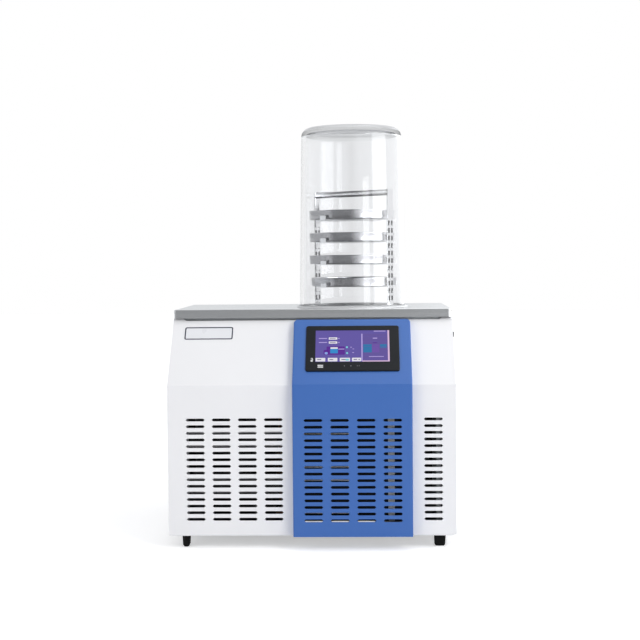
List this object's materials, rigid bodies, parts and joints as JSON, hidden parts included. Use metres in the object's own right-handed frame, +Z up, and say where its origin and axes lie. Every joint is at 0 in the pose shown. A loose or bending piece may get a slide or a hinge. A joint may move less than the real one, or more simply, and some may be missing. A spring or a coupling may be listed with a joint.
{
  "type": "freeze dryer",
  "caption": "Bench-top freeze dryer: slant-front cabinet with touch screen, louvred panels, steel work top, and a clear drying chamber over a rack of round trays.",
  "frame": {"origin": "centre of the footprint at floor height", "axes": "+X right, +Y from front to back, +Z up"},
  "size_m": [0.6204, 0.524, 0.9175],
  "materials": {
    "white_paint": "white powder coat",
    "blue_paint": "blue powder coat",
    "bezel_dark": "moulded screen frame",
    "display": "glossy display",
    "black_plastic": "moulded",
    "stainless_plate": "brushed",
    "stainless_well": "satin",
    "stainless_rack": "satin",
    "stainless_tray": "pressed and satin",
    "clear_acrylic": "clear and polished",
    "seal_rubber": "smooth clear-grey silicone",
    "foot_rubber": "matte",
    "zinc_steel": "galvanised",
    "compressor_black": "satin black",
    "condenser_fins": "bare",
    "foam": "foam",
    "copper": "bare copper",
    "valve_brass": "machined",
    "lever_steel": "dipped"
  },
  "bodies": {
    "cabinet": {"left_front_panel": "white_paint", "right_front_panel": "white_paint", "left_side_panel": "white_paint", "right_side_panel": "white_paint", "rear_panel": "white_paint", "centre_cover": "blue_paint", "screen_bezel": "bezel_dark", "display_glass": "display", "screen_body": "black_plastic", "switch_frame": "black_plastic", "power_inlet": "black_plastic", "pump_outlet": "black_plastic", "compressor_terminal_cover": "black_plastic", "top_plate": "stainless_plate", "cold_trap_well": "stainless_well", "vacuum_port": "stainless_well", "drain_tube": "stainless_well", "air_line": "stainless_well", "tray_rack": "stainless_rack", "shelf_1": "stainless_rack", "shelf_2": "stainless_rack", "shelf_3": "stainless_rack", "shelf_4": "stainless_rack", "tray_1": "stainless_tray", "tray_2": "stainless_tray", "tray_3": "stainless_tray", "tray_4": "stainless_tray", "chamber": "clear_acrylic", "chamber_seal": "seal_rubber", "foot_front_left": "foot_rubber", "foot_front_right": "foot_rubber", "foot_rear_left": "foot_rubber", "foot_rear_right": "foot_rubber", "compressor_mounts": "foot_rubber", "base_pan": "zinc_steel", "inner_frame": "zinc_steel", "fan_shroud": "zinc_steel", "fan_bracket": "zinc_steel", "power_supply_box": "zinc_steel", "compressor": "compressor_black", "fan_motor": "compressor_black", "condenser": "condenser_fins", "evaporator_plate": "condenser_fins", "vacuum_sensor": "condenser_fins", "trap_insulation": "foam", "discharge_line": "copper", "liquid_line": "copper", "evaporator_line": "copper", "suction_line": "copper", "filter_drier": "copper", "drain_valve_body": "valve_brass", "drain_nozzle": "valve_brass", "air_valve_body": "valve_brass"},
    "fan": {"fan": "black_plastic"},
    "rocker": {"power_rocker": "black_plastic"},
    "drain_lever": {"drain_valve_lever": "lever_steel"},
    "air_knob": {"air_valve_knob": "black_plastic"}
  },
  "joints": [
    {"name": "fan_spin", "type": "hinge", "parent": "cabinet", "child": "fan", "pos_m": [0.08483, -0.149, 0.15], "axis": [0, 1, 0], "continuous": true},
    {"name": "power_rocker", "type": "hinge", "parent": "cabinet", "child": "rocker", "pos_m": [0.30333, -0.119, 0.45], "axis": [0, 0, 1], "range_deg": [0, 20]},
    {"name": "drain_lever_turn", "type": "hinge", "parent": "cabinet", "child": "drain_lever", "pos_m": [0.08483, 0.231, 0.129], "axis": [0, 0, 1], "range_deg": [0, 90]},
    {"name": "air_knob_turn", "type": "hinge", "parent": "cabinet", "child": "air_knob", "pos_m": [0.14483, 0.2395, 0.44], "axis": [0, 1, 0], "range_deg": [0, 270]}
  ]
}
